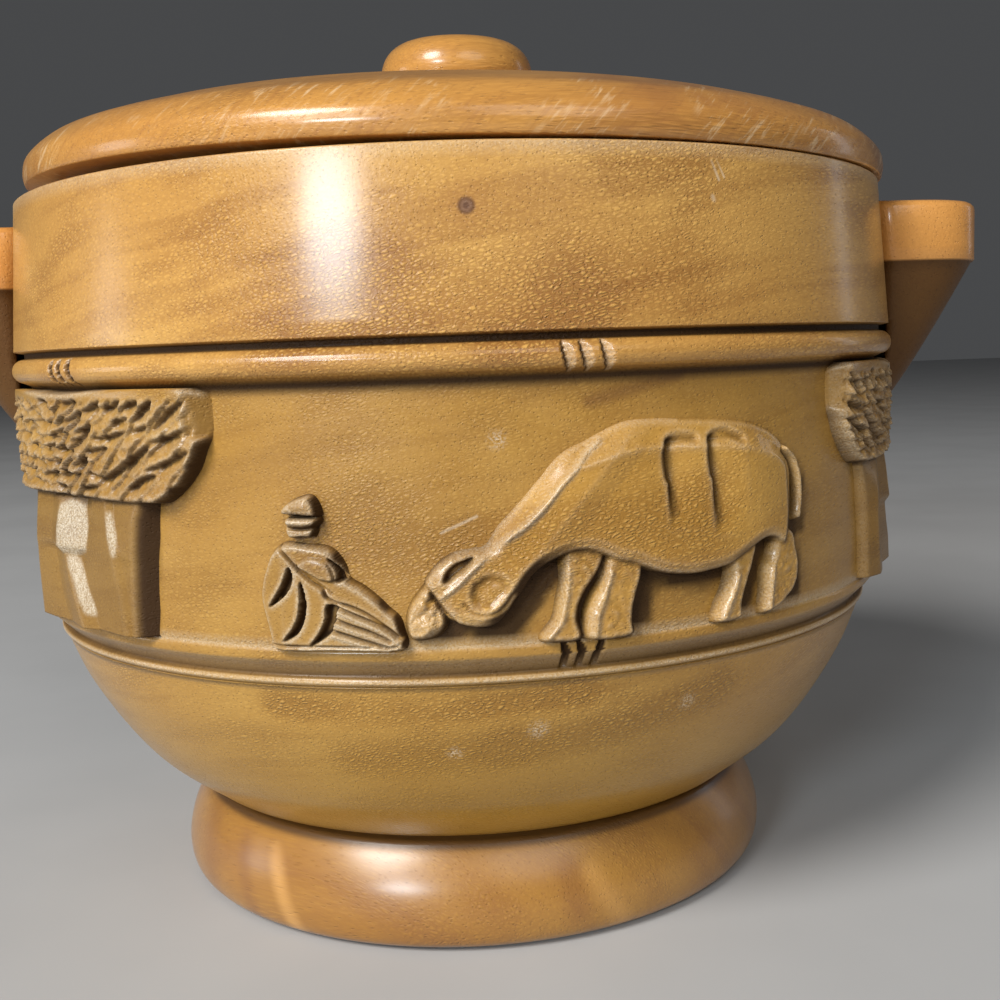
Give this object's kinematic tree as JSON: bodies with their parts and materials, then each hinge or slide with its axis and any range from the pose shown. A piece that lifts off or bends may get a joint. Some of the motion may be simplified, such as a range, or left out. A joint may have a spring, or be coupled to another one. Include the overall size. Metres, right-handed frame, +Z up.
{
  "type": "carved wooden bucket",
  "caption": "Lidded round wooden bucket with a carved relief band, lug handles, a turned foot and a metal liner.",
  "frame": {"origin": "on the standing surface, under the middle of the foot", "axes": "+Z up along the turning axis, +X towards the right handle, -Y towards the front of the carving"},
  "size_m": [0.254, 0.2098, 0.2006],
  "materials": {
    "barrel_wood": "satin lacquer",
    "foot_wood": "satin lacquer",
    "lid_wood": "satin lacquer",
    "handle_wood": "satin lacquer",
    "dowel_wood": "bare",
    "liner_metal": "spun, satin"
  },
  "bodies": {
    "bucket": {"foot": "foot_wood", "bucket_body": "barrel_wood", "liner": "liner_metal", "handle_right": "handle_wood", "dowel_right_1": "dowel_wood", "dowel_right_2": "dowel_wood", "handle_left": "handle_wood", "dowel_left_1": "dowel_wood", "dowel_left_2": "dowel_wood"},
    "lid": {"lid": "lid_wood", "lid_knob": "lid_wood"}
  },
  "joints": [
    {"name": "lid_lift", "type": "slide", "parent": "bucket", "child": "lid", "axis": [0, 0, 1], "range_m": [0, 0.1]}
  ]
}
